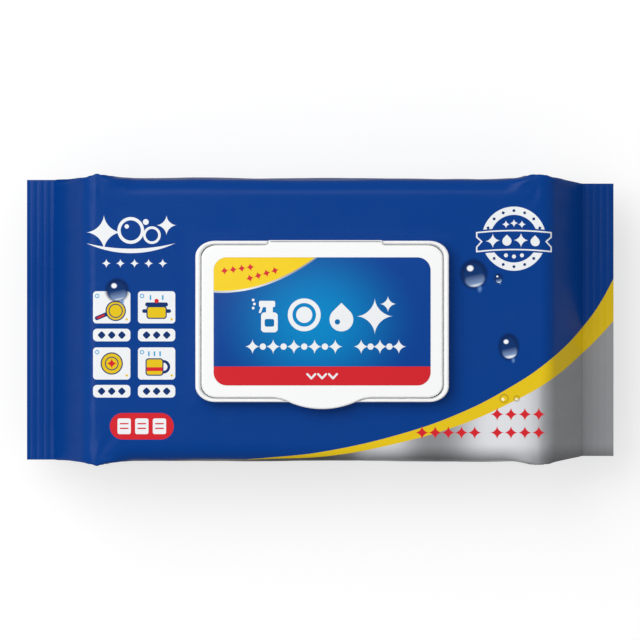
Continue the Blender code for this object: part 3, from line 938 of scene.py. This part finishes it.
# Heights of the stripe's two edges at places along the film. On the left it runs down the front wall.
BLUE_EDGE = (
    (-125, -99), (-95, -80.5), (-62, -68.5), (-30, -60.6), (-2, -56.8), (34, -48.7), (60, -39.5),
    (80, -29.2), (96, -18.5), (112, -3), (125, 17.5),
)
SILVER_EDGE = (
    (-125, -101), (-95, -82), (-62, -69.6), (-30, -61.2), (-2, -59.1), (34, -52.3), (60, -44.6),
    (80, -35.8), (96, -27), (112, -14), (125, -0.5),
)
# Painted sheen on the silver: its lightness along the film
SILVER_SHEEN = (
    (-125, 0.5), (-85, 0.66), (-45, 0.3), (-10, 0.12), (12, 0.25), (27, 0.66), (47.6, 0.27), (76, 0.76),
    (92, 0.55), (98, 0.3), (109, 0.3), (116, 0.325), (125, 0.355),
)
RIGHT_FIN_SHADE = 0.82  # painted shade: the right fin's print is darkened to this share


def curve(ink, x, points, lift, drop):
    """A value that follows a smooth curve through these points along the film."""
    node = ink.add("FloatCurve", 1.0, ink.range(x, -STRIPE_SPAN / 2, STRIPE_SPAN / 2, 0.0, 1.0))
    line = node.mapping.curves[0]
    for _ in points[2:]:
        line.points.new(0.5, 0.5)
    for knot, (along, value) in zip(line.points, points):
        knot.location = (along / STRIPE_SPAN + 0.5, (value + lift) / drop)
    node.mapping.update()
    return ink.math("MULTIPLY_ADD", node.outputs[0], drop, -lift)


def stripe_edge(ink, x, points):
    return curve(ink, x, points, STRIPE_LOW, STRIPE_DROP)


def painted_silver_sheen(ink, x):
    return curve(ink, x, SILVER_SHEEN, 0.0, 1.0)


def film_material():
    ink = Print("film_print", BLUE)
    x, y, _ = ink.split(ink.place)
    below_blue = ink.math("SUBTRACT", y, stripe_edge(ink, x, BLUE_EDGE))
    below_silver = ink.math("SUBTRACT", y, stripe_edge(ink, x, SILVER_EDGE))
    ink.paint(YELLOW, below_blue)
    # Painted sheen on the silver: two bright bands across it, and painted shade that darkens it towards the
    # front edge.
    edge = ink.math("ABSOLUTE", ink.math("ADD", y, 61.5))
    painted_sheen_and_shade = ink.math("MULTIPLY", painted_silver_sheen(ink, x), ink.range(edge, 1.0, 9.5, 0.55, 1.0, "SMOOTHSTEP"))
    silver = ink.vector("MULTIPLY", ink.add("CombineXYZ", painted_sheen_and_shade, painted_sheen_and_shade, painted_sheen_and_shade).outputs[0], (0.985, 1.0, 1.04))
    silver = ink.mix(ink.range(y, -66.0, -84.0, 0.0, 0.65, "SMOOTHSTEP"), silver, SILVER_WALL)
    ink.paint(silver, below_silver)
    bubble_mark(ink)
    kitchen_tiles(ink)
    count_pill(ink)
    ring_badge(ink)
    for drop in WATER_DROPS:
        water_drop(ink, *drop)
    for bead in BEADS:
        clear_bead(ink, *bead)
    ink.paint_row(RED, 84.1, -40.2, 4, 5.9, ink.sparkle, 2.9)
    ink.paint_row(RED, 54.5, -48.0, 5, 5.6, ink.sparkle, 2.9)
    ink.paint_row(RED, 84.1, -48.0, 4, 5.9, ink.sparkle, 2.9)
    front = ink.colour
    # Painted shade on the right fin: its print is darkened there, the yellow and silver too.
    fin_start = HALF_LENGTH - RIGHT_FIN
    fin_shade = ink.range(x, fin_start - 0.4, fin_start, 1.0, RIGHT_FIN_SHADE)
    front = ink.vector("MULTIPLY", front, ink.add("CombineXYZ", fin_shade, fin_shade, fin_shade).outputs[0])
    ink.colour = BLUE
    back_panel(ink)
    under = ink.split(ink.raw)[2]
    ink.colour = ink.mix(ink.range(under, 0.45, 0.55, 0.0, 1.0), front, ink.colour)
    ink.set(Base_Color=ink.colour)
    space = ink.add("TexCoord").outputs["Object"]
    slack = ink.noise(space, 70.0, 2.0)
    ink.set(Roughness=ink.range(slack, 0.3, 0.7, 0.24, 0.29), Specular_IOR_Level=0.11)
    ink.bump(slack, 0.2, 0.4)
    return ink.material


def back_panel(ink):
    """The underside's print: two plain white panels with grey lines and a row of small marks."""
    for x in (-52.0, 52.0):
        ink.paint(WHITE, ink.box(x, 27.0, 78.0, 36.0, 2.5))
        place = ink.vector("WRAP", ink.near(x, 27.0), (99.0, 2.3, 99.0), (-99.0, -2.3, -99.0))
        line = ink.box(0.0, 0.0, 68.0, 0.9, 0.4, 0.0, place)
        ink.paint(GREY_INK, ink.math("MAXIMUM", line, ink.box(x, 27.0, 70.0, 7 * 4.6)))
    ink.paint(YELLOW, ink.box(0.0, -56.5, 250.0, 2.2))
    ink.paint_row(WHITE, 0.0, -33.0, 5, 20.0, ink.sparkle, 5.5)
    ink.paint_row(WHITE, 0.0, -33.0, 6, 20.0, ink.drop, 2.4)


def plastic_material(name, base):
    nodes = Nodes(name)
    space = nodes.add("TexCoord").outputs["Object"]
    cloud = nodes.noise(space, 40.0, 2.0)
    nodes.set(Base_Color=nodes.mix(nodes.range(cloud, 0.3, 0.7, 0.0, 1.0), base, [0.985 * c for c in base]))
    grain = nodes.noise(space, 2600.0, 2.0)
    nodes.set(Roughness=nodes.range(grain, 0.3, 0.7, 0.3, 0.4))
    nodes.bump(grain, 0.08, 0.05)
    nodes.set(IOR=1.48)
    return nodes.material


def label_material():
    """The lid's label: a lit blue field, a yellow corner with a silver rim, and a red band in front."""
    ink = Print("label_print", BLUE)
    far = ink.length(ink.vector("MULTIPLY", ink.near(-3.0, 0.0), (1 / 44.0, 1 / 38.0, 0.0)))
    ink.colour = ink.mix(ink.range(far, 0.05, 1.05, 0.0, 1.0, "SMOOTHSTEP"), LABEL_LIT, LABEL_DARK)
    for x, icon in ((-23.0, spray_bottle), (-7.6, clean_plate), (8.2, big_drop), (23.4, two_sparkles)):
        icon(ink, x, 2.8)
    ink.paint_row(WHITE, -12.0, -10.7, 5, 8.8, ink.sparkle, 3.1)
    ink.paint_row(WHITE, -12.0, -10.7, 4, 8.8, ink.disc, 1.3)
    ink.paint_row(WHITE, 24.6, -10.7, 3, 8.0, ink.sparkle, 3.1)
    ink.paint_row(WHITE, 24.6, -10.7, 2, 8.0, ink.disc, 1.3)
    x, y, _ = ink.split(ink.place)
    off = ink.math("ADD", x, 43.0)
    edge = ink.math("MULTIPLY_ADD", ink.math("MULTIPLY", off, off), 0.0089, 12.2)
    above = ink.math("SUBTRACT", edge, y)
    # Painted sheen on the silver rim: lightest near x = -33 and darker away from it.
    painted_sheen_and_shade = ink.range(ink.math("ABSOLUTE", ink.math("ADD", x, 33.0)), 0.0, 22.0, 0.0, 1.0)
    ink.paint(ink.mix(painted_sheen_and_shade, (0.85, 0.87, 0.9), (0.3, 0.34, 0.4)), above)
    ink.paint(LABEL_YELLOW, ink.math("ADD", above, 0.8))
    ink.paint_row(RED, -36.0, 22.3, 4, 3.7, ink.sparkle, 1.8, 8.0)
    ink.paint_row(RED, -25.4, 20.0, 4, 3.7, ink.sparkle, 1.8, 17.0)
    ink.paint(RED, ink.box(0.0, -27.2, 100.0, 16.0))
    for x in (-4.6, 0.0, 4.6):
        ink.paint(WHITE, ink.line((x - 1.7, -22.4), (x, -24.2), 0.8))
        ink.paint(WHITE, ink.line((x + 1.7, -22.4), (x, -24.2), 0.8))
    ink.set(Base_Color=ink.colour)
    space = ink.add("TexCoord").outputs["Object"]
    grain = ink.noise(space, 1200.0)
    ink.set(Roughness=ink.range(grain, 0.3, 0.7, 0.25, 0.27), Specular_IOR_Level=0.15)
    ink.bump(grain, 0.02, 0.02)
    return ink.material


def spray_bottle(ink, x, y):
    ink.paint(WHITE, ink.box(x + 0.6, y - 3.2, 7.0, 8.4, 1.5))
    ink.paint(WHITE, ink.box(x + 0.6, y + 2.0, 2.8, 3.4))
    ink.paint(WHITE, ink.box(x - 0.4, y + 4.6, 6.8, 2.6, 0.7))
    ink.paint(WHITE, ink.line((x - 2.6, y + 3.4), (x - 3.4, y + 1.2), 0.9))
    for off in (-1.7, 0.0, 1.7):
        ink.paint(WHITE, ink.disc(x - 5.8 - 0.3 * abs(off), y + 4.6 + off, 0.55))
    ink.paint(LABEL_HOLE, ink.box(x + 0.6, y - 3.4, 4.0, 3.2, 0.8))


def clean_plate(ink, x, y):
    ink.paint(WHITE, ink.hoop(x, y, 6.0, 1.9))
    ink.paint(WHITE, ink.disc(x, y, 3.4))


def big_drop(ink, x, y):
    ink.paint(WHITE, ink.drop(x, y - 2.0, 5.0))
    ink.paint(LABEL_HOLE, ink.disc(x - 1.7, y - 3.0, 1.1))


def two_sparkles(ink, x, y):
    ink.paint(WHITE, ink.sparkle(x - 1.0, y - 0.6, 7.6))
    ink.paint(WHITE, ink.sparkle(x + 4.6, y + 4.6, 3.4))


def seal_material():
    """The peel label: pale film with a blue border and arrows towards its pull tab."""
    ink = Print("seal_print", SEAL_PALE)
    ink.paint(SEAL_BLUE, ink.box(0.0, 1.3, 70.0, 34.6, 7.5))
    ink.paint(SEAL_PALE, ink.box(0.0, 1.3, 68.4, 33.0, 6.8))
    for y in (-7.0, -3.0, 1.0):
        ink.paint(SEAL_BLUE, ink.line((-4.0, y), (0.0, y - 3.0), 1.1))
        ink.paint(SEAL_BLUE, ink.line((4.0, y), (0.0, y - 3.0), 1.1))
    ink.paint_row(SEAL_BLUE, -22.0, 0.0, 3, 6.0, ink.disc, 1.2)
    ink.paint_row(SEAL_BLUE, 22.0, 0.0, 3, 6.0, ink.disc, 1.2)
    ink.set(Base_Color=ink.colour)
    space = ink.add("TexCoord").outputs["Object"]
    ripple = ink.noise(space, 160.0, 2.0)
    ink.set(Roughness=ink.range(ripple, 0.3, 0.7, 0.2, 0.28))
    ink.bump(ripple, 0.12, 0.1)
    return ink.material


# Studio

VIEW_WIDTH = 272.8  # mm across the picture, at mid-height
VIEW_DISTANCE = 12000.0
VIEW_MIDDLE = (-0.1, -0.1)
KEY_TOWARDS = (-0.42, 0.34, 0.84)
KEY_AWAY, KEY_SIZE, KEY_POWER = 1.8, 1.5, 21.5
SKY_LIGHT = 0.53
GLOSS_LOW, GLOSS_HIGH = 0.4, 0.05
FLOOR_COLOUR = 0.4
FLOOR_GLOW = 0.63
FLOOR_HALF, FLOOR_GAP = 2500, 0.05
CEILING_START, CEILING_END = 0.1, 0.8
SENSOR_WIDTH = 36.0


def light_path(tree, name):
    path = tree.nodes.new("ShaderNodeLightPath")
    return path.outputs[name]


def studio():
    scene = bpy.context.scene
    scene.view_settings.view_transform = "Standard"
    world = bpy.data.worlds.new("studio")
    world.use_nodes = True
    scene.world = world
    tree = world.node_tree
    background = tree.nodes["Background"]
    background.inputs["Color"].default_value = (1.0, 1.0, 1.0, 1.0)
    # Soft light all round; reflections see a pale horizon and a dim ceiling, and the camera sees white.
    height = tree.nodes.new("ShaderNodeSeparateXYZ")
    tree.links.new(tree.nodes.new("ShaderNodeTexCoord").outputs["Generated"], height.inputs[0])
    ceiling = tree.nodes.new("ShaderNodeMapRange")
    tree.links.new(height.outputs[2], ceiling.inputs[0])
    for index, value in enumerate((CEILING_START, CEILING_END, GLOSS_LOW, GLOSS_HIGH), start=1):
        ceiling.inputs[index].default_value = value
    strength = SKY_LIGHT
    for ray, value in (("Is Glossy Ray", ceiling.outputs[0]), ("Is Camera Ray", 1.0)):
        mix = tree.nodes.new("ShaderNodeMix")
        tree.links.new(light_path(tree, ray), mix.inputs[0])
        for socket, part in ((mix.inputs[2], strength), (mix.inputs[3], value)):
            if isinstance(part, float):
                socket.default_value = part
            else:
                tree.links.new(part, socket)
        strength = mix.outputs[0]
    tree.links.new(strength, background.inputs["Strength"])

    corners = [(x * FLOOR_HALF, y * FLOOR_HALF, 0) for x, y in ((-1, -1), (1, -1), (1, 1), (-1, 1))]
    floor = mesh_piece("floor", corners, [(0, 1, 2, 3)], None)
    floor.location.z = -FLOOR_GAP * MM
    nodes = Nodes("floor_white")
    nodes.set(Base_Color=(FLOOR_COLOUR,) * 3, Roughness=0.9)
    nodes.feed(nodes.shader.inputs["Emission Color"], (1.0, 1.0, 1.0))
    glow = nodes.math("MULTIPLY", light_path(nodes.tree, "Is Camera Ray"), FLOOR_GLOW)
    nodes.feed(nodes.shader.inputs["Emission Strength"], glow)
    nodes.feed(nodes.shader.inputs["Specular IOR Level"], 0.0)
    floor.data.materials.append(nodes.material)

    key = bpy.data.lights.new("key", "AREA")
    key.shape, key.size, key.energy = "SQUARE", KEY_SIZE, KEY_POWER
    lamp = bpy.data.objects.new("key", key)
    towards = Vector(KEY_TOWARDS).normalized()
    lamp.location = towards * KEY_AWAY
    lamp.rotation_euler = towards.to_track_quat("Z", "Y").to_euler()
    scene.collection.objects.link(lamp)


def camera():
    data = bpy.data.cameras.new("camera")
    data.sensor_width = SENSOR_WIDTH
    data.lens = SENSOR_WIDTH * VIEW_DISTANCE / VIEW_WIDTH
    data.clip_start, data.clip_end = 1.0, 100.0
    eye = bpy.data.objects.new("camera", data)
    eye.location = (VIEW_MIDDLE[0] * MM, VIEW_MIDDLE[1] * MM, (VIEW_DISTANCE + MIDDLE) * MM)
    bpy.context.scene.collection.objects.link(eye)
    bpy.context.scene.camera = eye


camera()
studio()
film_pack().data.materials.append(film_material())
lid_white = plastic_material("lid_white", PLASTIC)
lid_frame_piece().data.materials.append(plastic_material("frame_white", PLASTIC))
lid_piece().data.materials.append(lid_white)
hinge_web().data.materials.append(lid_white)
lid_sticker().data.materials.append(label_material())
seal_sticker().data.materials.append(seal_material())

bpy.context.view_layer.update()
